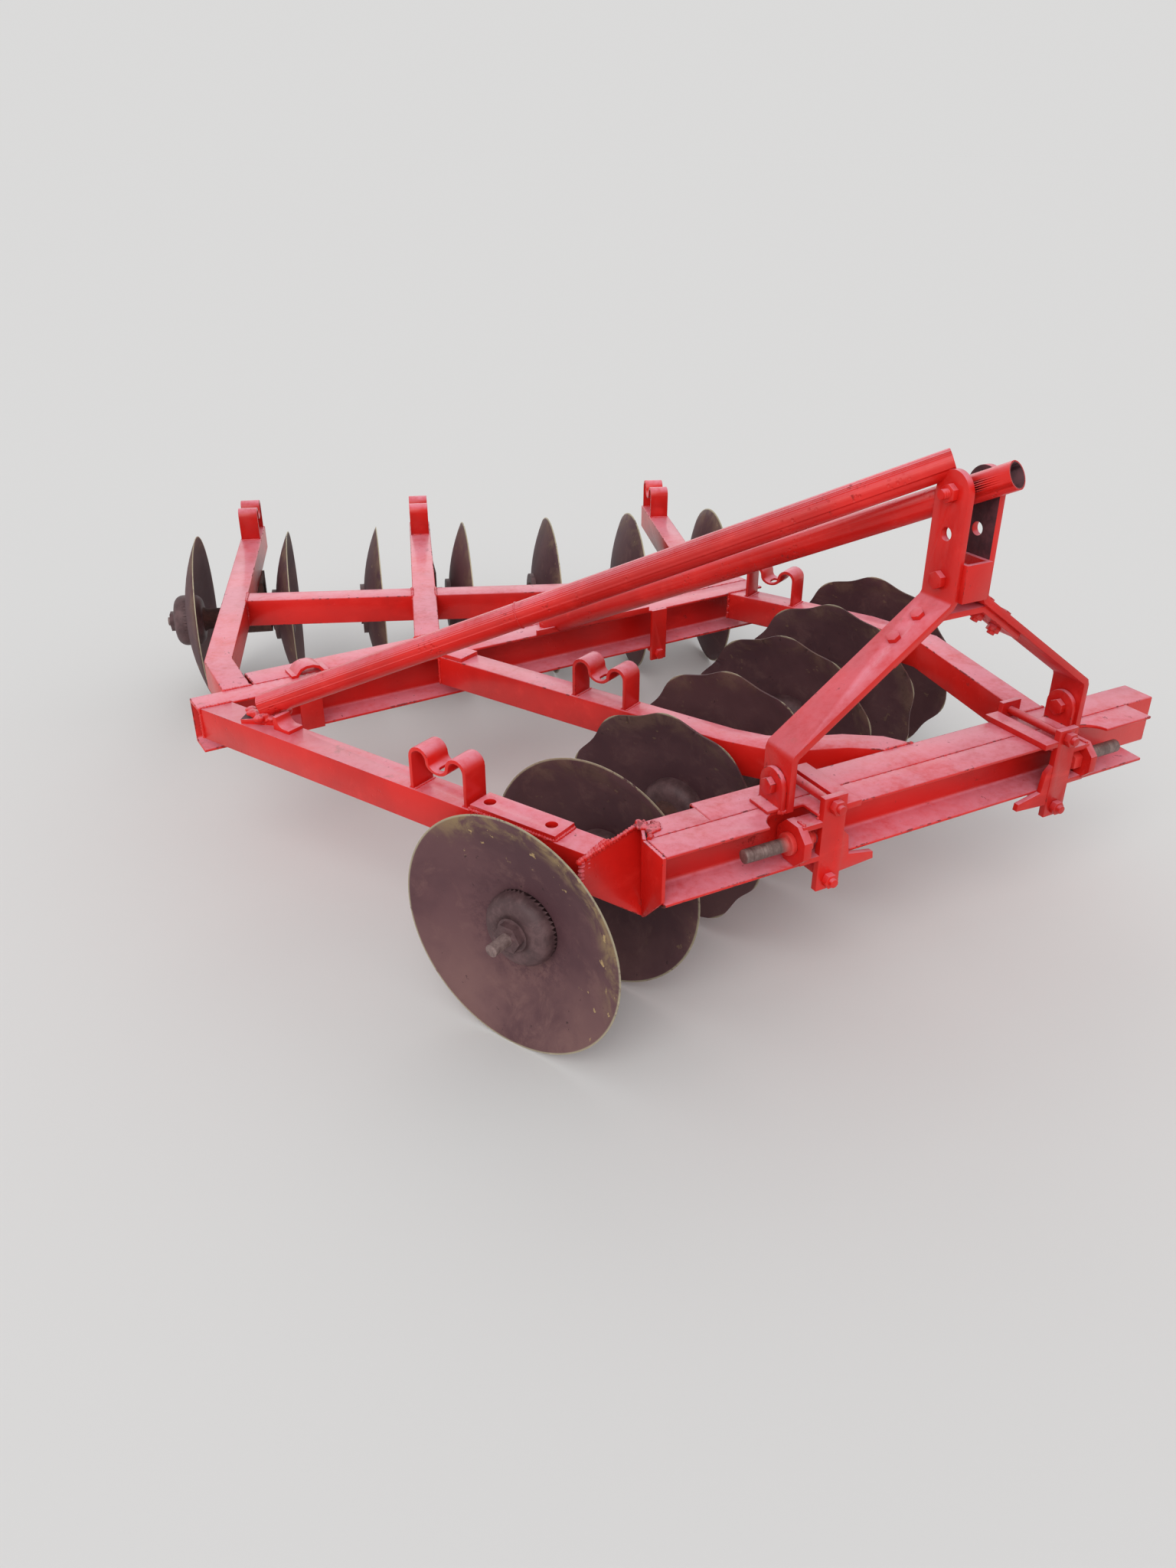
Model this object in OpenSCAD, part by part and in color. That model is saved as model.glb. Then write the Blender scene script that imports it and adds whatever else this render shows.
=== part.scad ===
/* [Discs] */
// Diameter of every disc
disc_d = 510; // [480:1:520]
// Depth of the dish from rim plane to crown
dish = 60; // [52:1:62]
// Thickness of the disc plate
disc_t = 5; // [4:0.5:6]
// Distance from one disc to the next along the axle
disc_pitch = 274; // [268:1:280]
// How deep the scalloped rims dip between lobes
scallop_depth = 15; // [8:1:22]

/* [Gangs] */
// Angle of the front gang to the front beam
front_angle = 26.7; // [25.5:0.1:27.5]
// Angle of the rear gang to the front beam
rear_angle = 16.7; // [15.5:0.1:17.5]
// Side of the square axle
axle_side = 28; // [24:1:32]
// Diameter of the spools between the discs
spool_d = 64; // [56:1:70]
// Outer diameter of the bearing housings
housing_d = 104; // [96:1:110]
// Length of the bearing housings
housing_len = 76; // [60:1:84]

/* [Frame] */
// Height of the frame's top face above the ground
frame_top = 455; // [450:1:470]
// Length of the front channel
front_beam_len = 1255; // [1200:1:1300]
// Length of the rear beam's channel
rear_beam_len = 1610; // [1560:1:1640]
// Height of the beams' channels
channel_h = 110; // [100:1:114]
// Width of the channels' flanges
flange_w = 70; // [62:1:74]
// Wall of the channels and boxes
wall = 7; // [5:0.5:9]
// Depth of the box behind the front channel
front_box_w = 78; // [70:1:80]
// Depth of the box behind the rear channel
rear_box_w = 80; // [72:1:90]
// Width of the members and arms
member_w = 66; // [60:1:68]
// Height of the members and arms
member_h = 74; // [66:1:80]
// Wall of the members and arms
member_wall = 5; // [4:0.5:7]

/* [Hitch] */
// Distance from the mast's middle to each foot bar
foot_half = 388; // [370:1:400]
// Clear gap between the two mast plates
mast_gap = 63; // [61:1:70]
// Thickness of the mast bars
bar_t = 14; // [12:1:16]
// Width of the mast bars
bar_w = 84; // [76:1:88]
// Height of the upper mast bolt above the ground
mast_top = 1012; // [995:1:1025]
// Diameter of the top link holes
link_hole_d = 26; // [25.8:0.1:32]
// Diameter of the lower link pins
pin_d = 28.5; // [22:0.1:30]
// Free length of the lower link pins
pin_len = 96; // [85:1:110]
// Outer diameter of the brace tubes
tube_d = 54; // [48:1:58]
// Wall of the brace tubes
tube_wall = 4; // [3:0.5:6]

/* [Hidden] */
disc_r = disc_d / 2;
// Radius of the sphere that the discs' convex face lies on
crown_r = ((disc_r + 3) * (disc_r + 3) + dish * dish) / (2 * dish);
discs = 7;
lobes = 10;
first_scalloped = 3;
eps = 0.01;

// Rim centre of the first disc of each gang, in plan
front_start = [-240, 141];
rear_start = [-374, 2131];

// Front faces of the beams
front_y = -25;
rear_start_xy = [-606, 1002];
rear_skew = 3.4;
box_x0 = 140;
box_x1 = 1346;

// Bearings sit behind these discs, counted from each gang's hollow end
front_bearings = [0, 2, 5];
rear_bearings = [0, 3, 5];
run_gap = 0.05;
side_gap = 6;
journal_r = 36;
collar_t = 14;
bearing_back = dish + collar_t + side_gap + housing_len / 2;
right_t = dish + 37;
middle_t = 2 * disc_pitch + dish + 30;
left_t = 5 * disc_pitch + dish + 32;

// Seat brackets on the members
seat_mid = 220;
seat_span = 146;
seat_leg = 95;
seat_w = 58;
seat_t = 8;
arm_end = 312;

// Mast
mast_x = 671;
mast_y = 44;
foot_z = 500;
knee_z = 560;
bend_z = 805;
link_z = mast_top - 76;
clip_z = 849;
plate_half = mast_gap / 2 + bar_t / 2;
mast_bolt_d = 20;

// Lower link pins
pin_z = frame_top - channel_h / 2 - 1;
pin_y = front_y + 10;
boss_t = 18;
boss_af = 86;
shelf_t = 11;
strap_off = 307;
strap_w = 54;
strap_t = 14;

// Plan position of a point given along and across a gang
function turned(a, p) = [p[0] * cos(a) - p[1] * sin(a), p[0] * sin(a) + p[1] * cos(a)];
function front_at(t, w) = front_start + turned(front_angle, [t, w]);
function rear_at(t, w) = rear_start + turned(-rear_angle, [t, w]);
function beam_at(s, v) = rear_start_xy + turned(rear_skew, [s, v]);

// Outline of a strip that follows a path at a half width
function unit(v) = v / norm(v);
function left_of(v) = [-v[1], v[0]];
function tangent(path, i) = i == 0 ? unit(path[1] - path[0])
    : i == len(path) - 1 ? unit(path[i] - path[i - 1])
    : unit(unit(path[i] - path[i - 1]) + unit(path[i + 1] - path[i]));
function mitre(path, i) = i == 0 || i == len(path) - 1 ? 1
    : 1 / (tangent(path, i) * unit(path[i] - path[i - 1]));
function strip(path, half) = concat(
    [for (i = [0 : len(path) - 1]) path[i] + left_of(tangent(path, i)) * half * mitre(path, i)],
    [for (i = [len(path) - 1 : -1 : 0]) path[i] - left_of(tangent(path, i)) * half * mitre(path, i)]);
function arc(c, r, a0, a1, n) = [for (i = [0 : n]) c + r * [cos(a0 + (a1 - a0) * i / n), sin(a0 + (a1 - a0) * i / n)]];

// Centre lines of the members and arms, in plan
right_line = [front_at(right_t, -137), front_at(right_t, 1040)];
middle_line = concat([front_at(middle_t, 1000), front_at(middle_t, -100)],
    [for (p = [[14, -182], [60, -256], [118, -318], [154, -384], [162, -500]]) front_at(middle_t + p[0], p[1])]);
left_line = [front_at(left_t, 520), front_at(left_t, -60), front_at(left_t - 37, -240), front_at(left_t - 350, -630)];
right_arm_line = [[-500, 1030], [-501, 1274], rear_at(154, arm_end)];
middle_arm_line = [[-30, 1066], rear_at(695, 262)];
left_arm_line = [beam_at(rear_beam_len - 93, 43), [985, 1516], rear_at(1510, arm_end)];
arm_lines = [right_arm_line, middle_arm_line, left_arm_line];

// Moves the model from its plan layout to the middle of its box
bell_r = 78;
bell_h = 40;
bell_round = 28;
bell_recess = 4;
nut_len = 20;
nut_d = 62;
stub_d = 26;
start_stub = 45;
end_stub = 8;
start_bell = dish - disc_t - 5;
end_bell = (discs - 1) * disc_pitch + dish - 5;
start_face = start_bell - bell_h + bell_recess;
end_face = end_bell + bell_h - bell_recess;
function reach(t, r) = front_start[0] + t * cos(front_angle) + r * sin(front_angle);
x_hi = max(box_x1, reach(end_bell + bell_h - bell_round, bell_r - bell_round) + bell_round,
    reach(end_face + nut_len, nut_d / 2), reach(end_face + nut_len + end_stub, stub_d / 2));
x_lo = beam_at(0, flange_w)[0];
y_lo = front_start[1] - disc_r * cos(front_angle);
y_hi = max(concat([rear_start[1] + disc_r * cos(rear_angle)], [for (p = strip(right_arm_line, member_w / 2)) p[1]]));
module placed() translate([-(x_lo + x_hi) / 2, -(y_lo + y_hi) / 2, 0]) children();

// Frames of the two gangs: X along the axle, Y across it
module at_front() translate([front_start[0], front_start[1], disc_r]) rotate([0, 0, front_angle]) children();
// The rear gang is the same gang turned round: its hollow faces look the other way
module at_rear() {
    far = rear_at((discs - 1) * disc_pitch, 0);
    translate([far[0], far[1], disc_r]) rotate([0, 0, 180 - rear_angle]) children();
}
module at_rear_beam() translate([rear_start_xy[0], rear_start_xy[1], 0]) rotate([0, 0, rear_skew]) children();
module along_x(x, len, d) translate([x, 0, 0]) rotate([0, 90, 0]) cylinder(h = len, d = d, $fn = 48);
module pipe_between(a, b, d) {
    v = b - a;
    translate(a) rotate([0, acos(v[2] / norm(v)), atan2(v[1], v[0])]) cylinder(h = norm(v), d = d, $fn = 64);
}

// Discs
module shell_ball(x, r) translate([x + dish - crown_r, 0, 0]) rotate([0, 90, 0]) sphere(r = r, $fn = 96);
function wave(a) = disc_r - scallop_depth * (1 - cos(lobes * a)) / 2;
module rim_outline(scalloped) {
    if (scalloped) polygon([for (i = [0 : lobes * 12 - 1]) let (a = i * 3) wave(a) * [cos(a), sin(a)]]);
    else circle(r = disc_r, $fn = 180);
}
module disc(x, scalloped = false) difference() {
    intersection() {
        difference() {
            shell_ball(x, crown_r);
            shell_ball(x, crown_r - disc_t);
        }
        translate([x, 0, 0]) rotate([0, 90, 0]) linear_extrude(dish + 1) rim_outline(scalloped);
    }
    translate([x, 0, 0]) cube([4 * dish, axle_side, axle_side], center = true);
}

// Spools fit the crown of one disc and the hollow of the next
module spool(x, bearing) intersection() {
    difference() {
        union() {
            along_x(x, disc_pitch + dish, spool_d);
            along_x(x + dish - 16, 16 + collar_t, housing_d - 6);
            translate([x + disc_pitch + dish - 62, 0, 0]) rotate([0, 90, 0])
                cylinder(h = 62, d1 = spool_d, d2 = spool_d + 62, $fn = 48);
            if (bearing) {
                along_x(x + bearing_back - housing_len / 2 - side_gap - 1, housing_len + 2 * side_gap + 2, journal_r * 2);
                along_x(x + bearing_back + housing_len / 2 + side_gap, collar_t, housing_d - 6);
            }
        }
        shell_ball(x, crown_r);
        translate([x - dish, -axle_side / 2, -axle_side / 2]) cube([disc_pitch + 3 * dish, axle_side, axle_side]);
    }
    shell_ball(x + disc_pitch, crown_r - disc_t);
}
module spools(bearings) for (i = [0 : discs - 2])
    spool(i * disc_pitch, len(search(i, bearings)) > 0);
module nut(x, hole) translate([x, 0, 0]) rotate([0, 90, 0]) difference() {
    rotate([0, 0, 30]) cylinder(h = nut_len, d = nut_d, $fn = 6);
    translate([0, 0, -1]) cylinder(h = nut_len + 2, d = hole, $fn = 48);
}
// A domed bell closes each end of a gang: the first disc's hollow and the last disc's crown
module bell(x, way) translate([x, 0, 0]) rotate([0, way * 90, 0]) rotate_extrude($fn = 96)
    polygon(concat([[0, -20], [bell_r, -20]],
        arc([bell_r - bell_round, bell_h - bell_round], bell_round, 0, 90, 10),
        [[nut_d / 2 + 4, bell_h], [nut_d / 2 + 4, bell_h - bell_recess], [0, bell_h - bell_recess]]));
module gang_ends() difference() {
    union() {
        intersection() {
            bell(start_bell, -1);
            shell_ball(0, crown_r - disc_t);
        }
        difference() {
            bell(end_bell, 1);
            shell_ball((discs - 1) * disc_pitch, crown_r);
        }
        nut(start_face - nut_len, stub_d);
        nut(end_face, stub_d);
    }
    gang_axle();
}
module along_square(x0, x1) translate([x0, -axle_side / 2, -axle_side / 2]) cube([x1 - x0, axle_side, axle_side]);
module gang_axle() {
    along_square(start_face, end_face);
    along_x(start_face - nut_len - start_stub, nut_len + start_stub + 1, stub_d);
    along_x(end_face - 1, nut_len + end_stub + 1, stub_d);
}
module front_axle() color([0.3, 0.24, 0.22]) placed() at_front() gang_axle();
module rear_axle() color([0.3, 0.24, 0.22]) placed() at_rear() gang_axle();
module front_spools() color([0.42, 0.16, 0.13]) placed() at_front() spools(front_bearings);
module rear_spools() color([0.42, 0.16, 0.13]) placed() at_rear() spools(rear_bearings);
module front_ends() color([0.3, 0.22, 0.2]) placed() at_front() gang_ends();
module rear_ends() color([0.3, 0.22, 0.2]) placed() at_rear() gang_ends();
module front_plain_discs() color([0.29, 0.2, 0.19]) placed() at_front()
    for (i = [0 : first_scalloped - 2]) disc(i * disc_pitch);
module front_scalloped_discs() color([0.27, 0.18, 0.17]) placed() at_front()
    for (i = [first_scalloped - 1 : discs - 1]) disc(i * disc_pitch, true);
module rear_discs() color([0.27, 0.18, 0.17]) placed() at_rear()
    for (i = [0 : discs - 1]) disc(i * disc_pitch);

// Beams, members and arms
member_z = frame_top - member_h;
beam_z = frame_top - channel_h;
front_back_y = front_y + flange_w + front_box_w;
rear_depth = flange_w + rear_box_w;
// Rolled channel, open to the front: flanges that taper to their lips, with round roots
lip_t = wall - 0.5;
root_t = wall + 2.5;
root_r = 8;
module channel(len) {
    web = flange_w - wall;
    translate([0, 0, beam_z]) rotate([90, 0, 90]) linear_extrude(len) polygon(concat(
        [[0, lip_t], [0, 0], [flange_w, 0], [flange_w, channel_h], [0, channel_h], [0, channel_h - lip_t]],
        arc([web - root_r, channel_h - root_t - root_r], root_r, 90, 0, 6),
        arc([web - root_r, root_t + root_r], root_r, 0, -90, 6)));
}
module box(len, w) difference() {
    translate([0, 0, beam_z]) cube([len, w, channel_h]);
    translate([-1, wall, beam_z + wall]) cube([len + 2, w - 2 * wall, channel_h - 2 * wall]);
}
function longer(path, e) = let (n = len(path) - 1) concat(
    [path[0] - e * unit(path[1] - path[0])],
    [for (i = [1 : 1 : n - 1]) path[i]],
    [path[n] + e * unit(path[n] - path[n - 1])]);
module bar_of(path, half, z0, h) translate([0, 0, z0]) linear_extrude(h) polygon(strip(path, half));
module member(path) difference() {
    bar_of(path, member_w / 2, member_z, member_h);
    bar_of(longer(path, 1), member_w / 2 - member_wall, member_z + member_wall, member_h - 2 * member_wall);
}
module front_beam_space() translate([-2000, -2000, 0]) cube([6000, 2000 + front_back_y, 2000]);
module rear_beam_space(s0, depth) at_rear_beam() translate([s0, 0, 0]) cube([4000, depth, 2000]);

// Torch-cut notches in the top flange leave room round the link pins' bosses
notch_r = 48;
module boss_notch() {
    x0 = -foot_half - 58;
    x1 = -strap_off - strap_w / 2 - 4;
    translate([0, 0, frame_top - 20]) linear_extrude(40)
        polygon(concat([[x1, front_y - 4], [x1, front_y + notch_r - 4]], arc([x0 + notch_r, front_y - 4], notch_r, 90, 180, 8)));
}
module front_channel() color([0.6, 0.13, 0.1]) placed() difference() {
    translate([0, front_y, 0]) channel(front_beam_len);
    at_mast() for (s = [0, 1]) mirror([s, 0, 0]) boss_notch();
}
module front_box() color([0.58, 0.12, 0.1]) placed()
    translate([box_x0, front_y + flange_w, 0]) box(box_x1 - box_x0, front_box_w);
module corner_gusset() color([0.55, 0.12, 0.1]) placed() {
    back = 104;
    translate([0, 0, frame_top - wall]) linear_extrude(wall)
        polygon([[0, front_y + flange_w], [0, back], [box_x0, back], [box_x0, front_y + flange_w]]);
    difference() {
        translate([-8, 0, 0]) rotate([90, 0, 90]) linear_extrude(8)
            polygon([[front_y, 362], [30, 292], [back, 340], [back, frame_top], [front_y, frame_top]]);
    }
    fold = [-8, back];
    start = front_at(50, -147);
    translate([0, 0, member_z - 6]) linear_extrude(member_h + 6)
        polygon([start, front_at(196, -147), [0, back - 6], [0, back], front_at(200, -137), front_at(50, -137)]);
}
module rear_channel() color([0.6, 0.13, 0.1]) placed() at_rear_beam() channel(rear_beam_len);
module rear_box() color([0.58, 0.12, 0.1]) placed() at_rear_beam()
    translate([150, flange_w, 0]) box(rear_beam_len - 150, rear_box_w);

plate_holes = [-33, 114];
plate_hole_d = 24;
plate_t = 12;
module plate_drills() for (w = plate_holes) let (p = front_at(right_t, w))
    translate([p[0], p[1], frame_top - 20]) cylinder(h = 60, d = plate_hole_d, $fn = 48);
module right_member() color([0.6, 0.13, 0.1]) placed() difference() {
    member(right_line);
    rear_beam_space(-500, 500);
    plate_drills();
}
module middle_member() color([0.6, 0.13, 0.1]) placed() difference() {
    member(middle_line);
    rear_beam_space(-500, 500);
    front_beam_space();
}
module left_member() color([0.6, 0.13, 0.1]) placed() difference() {
    member(left_line);
    rear_beam_space(-500, 500);
    front_beam_space();
}
module right_arm() color([0.58, 0.12, 0.1]) placed() difference() {
    member(right_arm_line);
    rear_beam_space(-500, flange_w);
}
module middle_arm() color([0.58, 0.12, 0.1]) placed() difference() {
    member(middle_arm_line);
    rear_beam_space(-500, rear_depth);
}
module left_arm() color([0.58, 0.12, 0.1]) placed() difference() {
    member(left_arm_line);
    rear_beam_space(-500, rear_depth);
}
// The cross bars lie on one line from the right arm to the rear beam
cross_line = [[-430, 1740], [760, 1246]];
module arm_space(i) bar_of(longer(arm_lines[i], 60), member_w / 2, 0, 2000);
module cross_part(x0, x1) difference() {
    intersection() {
        member(cross_line);
        translate([x0, 0, 0]) cube([x1 - x0, 3000, 2000]);
    }
    arm_space(0);
    arm_space(1);
    rear_beam_space(-500, rear_depth);
}
module right_cross_bar() color([0.6, 0.13, 0.1]) placed() cross_part(-352, 130);
module left_cross_bar() color([0.6, 0.13, 0.1]) placed() cross_part(130, 760);

// Seats: flat bar bent up, down into a dip and up again
module seat(h) {
    a = seat_span / 2 - seat_t / 2;
    r = 22;
    dip = a - 2 * r;
    bend_h = h - r - seat_t / 2;
    path = concat([[-a, 0]], arc([-a + r, bend_h], r, 180, 0, 10),
        [for (i = [1 : 11]) dip * [-cos(15 * i), -sin(15 * i)] + [0, bend_h]],
        arc([a - r, bend_h], r, 180, 0, 10), [[a, 0]]);
    difference() {
        translate([-seat_w / 2, 0, 0]) rotate([90, 0, 90]) linear_extrude(seat_w) polygon(strip(path, seat_t / 2));
        translate([0, 0, 20]) for (s = [-1, 0, 1]) translate([s * 8, 0, 0])
            if (s == 0) translate([-8, -9, 0]) cube([16, 18, 60]); else cylinder(h = 60, d = 18, $fn = 24);
    }
}
module front_seats() color([0.5, 0.13, 0.11]) placed()
    for (t = [right_t, middle_t, left_t]) let (p = front_at(t, seat_mid))
        translate([p[0], p[1], frame_top]) rotate([0, 0, front_angle]) seat(seat_leg);
rear_seat_ts = [[0, 154], [1, 695], [2, 1510]];
module rear_seats() color([0.5, 0.13, 0.11]) placed()
    for (i = [0 : 2]) let (q = arm_lines[i], n = len(q) - 1, u = unit(q[n] - q[n - 1]), p = q[n] - u * (seat_span / 2 + 8))
        translate([p[0], p[1], frame_top]) rotate([0, 0, atan2(u[1], u[0]) - 90]) seat(seat_leg);
module hole_plates() color([0.62, 0.15, 0.12]) placed() difference() {
    let (p = front_at(right_t, 38))
        translate([p[0], p[1], frame_top]) rotate([0, 0, front_angle]) translate([-30, -101, 0]) cube([60, 202, plate_t]);
    plate_drills();
}

// Bearing housings, each hung from the member above it
// Columns: place along the gang, start and end of the leg along the gang
module hanger(x, x0, x1) {
    drop = member_z - disc_r;
    difference() {
        union() {
            along_x(x - housing_len / 2, housing_len, housing_d);
            translate([x0, 0, 0]) rotate([90, 0, 90]) linear_extrude(x1 - x0) difference() {
                polygon([[-housing_d / 2, 0], [housing_d / 2, 0], [housing_d / 2 + 12, drop - 14],
                    [housing_d / 2 + 12, drop], [-housing_d / 2 - 12, drop], [-housing_d / 2 - 12, drop - 14]]);
                polygon([[-24, housing_d / 2 + 4], [24, housing_d / 2 + 4], [34, drop - 14], [-34, drop - 14]]);
            }
        }
        along_x(x - housing_len, 2 * housing_len, 2 * (journal_r + run_gap));
    }
}
front_legs = [[0, right_t], [2, middle_t], [5, left_t]];
rear_legs = [[5, 155], [3, 689], [0, 1505]];
module front_hangers() color([0.45, 0.14, 0.12]) placed() at_front()
    for (p = front_legs) let (x = p[0] * disc_pitch + bearing_back)
        hanger(x, max(x - housing_len / 2, p[1] - member_w / 2) + 2, min(x + housing_len / 2, p[1] + member_w / 2) - 2);
module rear_hangers() color([0.45, 0.14, 0.12]) placed() at_rear()
    for (p = rear_legs) let (x = p[0] * disc_pitch + bearing_back, c = (discs - 1) * disc_pitch - p[1])
        hanger(x, max(x - housing_len / 2, c - member_w / 2) + 2, min(x + housing_len / 2, c + member_w / 2) - 2);

// Mast: two flat bars bent into an A, bolted through at the top
foot_x = foot_half - bar_t / 2;
module mast_profile(z0) polygon(strip([[-plate_half, mast_top], [-plate_half, bend_z + 10], [-plate_half - 6, bend_z],
    [-foot_x + 4, knee_z + 10], [-foot_x, knee_z], [-foot_x, z0]], bar_t / 2));
module x_hole(z, d, x = 0, len = 300) translate([x - len / 2, mast_y, z]) rotate([0, 90, 0]) cylinder(h = len, d = d, $fn = 48);
// Bolts across the sloped bars: place from the mast's middle and height
slope_a = atan2(bend_z - knee_z - 10, foot_x - 4 - plate_half - 6);
function slope_z(x) = bend_z - (x - plate_half - 6) * tan(slope_a);
slope_bolts = [82, 134];
module slope_holes(d) for (x = slope_bolts) translate([-x, mast_y, slope_z(x)]) rotate([0, -slope_a, 0])
    translate([0, 0, -100]) cylinder(h = 200, d = d, $fn = 36);
module mast_bar() difference() {
    union() {
        translate([0, mast_y + bar_w / 2, 0]) rotate([90, 0, 0]) linear_extrude(bar_w) mast_profile(frame_top);
        translate([-plate_half - bar_t / 2, mast_y, mast_top]) rotate([0, 90, 0]) cylinder(h = bar_t, d = bar_w, $fn = 64);
    }
    x_hole(mast_top, mast_bolt_d + 1);
    x_hole(link_z, link_hole_d);
    x_hole(clip_z, mast_bolt_d + 1);
    x_hole(foot_z, mast_bolt_d + 1, -foot_x, 80);
    slope_holes(17);
}
module at_mast() translate([mast_x, 0, 0]) children();
module right_mast_bar() color([0.6, 0.13, 0.1]) placed() at_mast() mast_bar();
module left_mast_bar() color([0.6, 0.13, 0.1]) placed() at_mast() mirror([1, 0, 0]) mast_bar();
arch_t = 12;
module mast_arch() color([0.58, 0.13, 0.1]) placed() at_mast() difference() {
    o = (bar_t + arch_t) / 2;
    s = [for (x = [168, 60]) [-x + o * sin(slope_a), slope_z(x) - o * cos(slope_a)]];
    translate([0, mast_y + 32, 0]) rotate([90, 0, 0]) linear_extrude(64)
        polygon(strip([s[0], s[1], [-s[1][0], s[1][1]], [-s[0][0], s[0][1]]], arch_t / 2));
    slope_holes(17);
    mirror([1, 0, 0]) slope_holes(17);
}
module mast_clip() color([0.6, 0.14, 0.11]) placed() at_mast() difference() {
    translate([-mast_gap / 2, mast_y - bar_w / 2 - 10, bend_z + 8]) difference() {
        cube([mast_gap, bar_w + 14, 74]);
        translate([9, 9, -1]) cube([mast_gap - 18, bar_w + 20, 80]);
    }
    translate([0, mast_y - bar_w, bend_z + 45]) rotate([90, 0, 0]) cylinder(h = 60, d = 14, $fn = 24, center = true);
    x_hole(clip_z, mast_bolt_d + 1);
}
module hex(d, h) cylinder(h = h, d = d, $fn = 6);
module x_bolt(x0, x1, y, z, d, head, through = 14) translate([x0, y, z]) rotate([0, 90, 0]) {
    cylinder(h = x1 - x0 + through, d = d, $fn = 36);
    translate([0, 0, -0.65 * d]) hex(head, 0.65 * d);
    translate([0, 0, x1 - x0]) hex(head, 0.8 * d);
}
module mast_bolts() color([0.5, 0.2, 0.16]) placed() at_mast() {
    half = plate_half + bar_t / 2;
    x_bolt(-half, half, mast_y, mast_top, mast_bolt_d, 36, 24);
    x_bolt(-half, half, mast_y, clip_z, mast_bolt_d, 36, 24);
    for (s = [0, 1]) mirror([s, 0, 0]) for (x = slope_bolts)
        translate([-x, mast_y, slope_z(x)]) rotate([0, -slope_a, 0]) {
            translate([0, 0, -bar_t / 2 - arch_t - 18]) cylinder(h = bar_t + arch_t + 18, d = 16, $fn = 36);
            translate([0, 0, bar_t / 2]) hex(28, 10);
            translate([0, 0, bar_t / 2 - 1]) cylinder(h = 2, d = 16, $fn = 36);
            translate([0, 0, -bar_t / 2 - arch_t - 12]) hex(28, 12);
        }
}
lug_t = 12;
module mast_feet() color([0.6, 0.14, 0.11]) placed() at_mast() for (s = [-1, 1]) {
    face = s * foot_x - bar_t / 2;
    difference() {
        union() {
            translate([face - lug_t, mast_y - 36, frame_top]) cube([lug_t, 72, foot_z - frame_top]);
            translate([face - lug_t, mast_y, foot_z]) rotate([0, 90, 0]) cylinder(h = lug_t, d = 72, $fn = 48);
            translate([face - lug_t - 26, mast_y - 30, frame_top]) cube([26 + lug_t, 60, 8]);
        }
        x_hole(foot_z, mast_bolt_d + 1, face, 60);
    }
}
module foot_bolts() color([0.5, 0.2, 0.16]) placed() at_mast() for (s = [-1, 1])
    x_bolt(s * foot_x - bar_t / 2 - lug_t, s * foot_x + bar_t / 2, mast_y, foot_z, mast_bolt_d, 36, 26);

// Brace tubes from the mast back to the frame
upper_foot = [-486, 880, frame_top + 33];
upper_head = [650, 76, 1058];
lower_foot = [330, 1086, frame_top + 12];
mast_eye = [mast_x, mast_y, mast_top];
lower_dir = unit(mast_eye - lower_foot);
lower_head = mast_eye + lower_dir * 92;
module tube(a, b) difference() {
    pipe_between(a, b, tube_d);
    pipe_between(a - (b - a) / 100, b + (b - a) / 100, tube_d - 2 * tube_wall);
}
module mast_plates_space() at_mast() for (s = [0, 1]) mirror([s, 0, 0]) {
    translate([-plate_half - bar_t / 2, mast_y - bar_w / 2, bend_z]) cube([bar_t, bar_w, mast_top - bend_z]);
    translate([-plate_half - bar_t / 2, mast_y, mast_top]) rotate([0, 90, 0]) cylinder(h = bar_t, d = bar_w, $fn = 64);
}
module brace_pad(c, a, len, w) translate([c[0], c[1], frame_top]) rotate([0, 0, a]) translate([-len / 2, -w / 2, 0]) cube([len, w, 10]);
module upper_brace() color([0.6, 0.13, 0.1]) placed() difference() {
    union() {
        tube(upper_foot, upper_head);
        difference() {
            brace_pad(upper_foot, -36, 84, 58);
            pipe_between(upper_foot, upper_head, tube_d - 2 * tube_wall);
        }
    }
    mast_plates_space();
    translate([-2000, 0, frame_top - 400]) cube([4000, 4000, 400]);
}
// The lower tube is filled and planed where it passes between the mast plates
module lower_brace() color([0.6, 0.13, 0.1]) placed() difference() {
    union() {
        pipe_between(lower_foot - lower_dir * 30, lower_head, tube_d);
        brace_pad(lower_foot + [10, 25], -72, 80, 50);
    }
    pipe_between(lower_foot - lower_dir * 60, mast_eye - lower_dir * 60, tube_d - 2 * tube_wall);
    pipe_between(mast_eye + lower_dir * 62, lower_head + lower_dir * 20, tube_d - 2 * tube_wall);
    at_mast() for (s = [-1, 1])
        translate([s * (mast_gap / 2 + 50) - 50, mast_y - bar_w / 2, mast_top - 100]) cube([100, bar_w, 200]);
    at_mast() x_hole(mast_top, mast_bolt_d + 1);
    translate([-2000, 0, frame_top - 400]) cube([4000, 4000, 400]);
}

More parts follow.
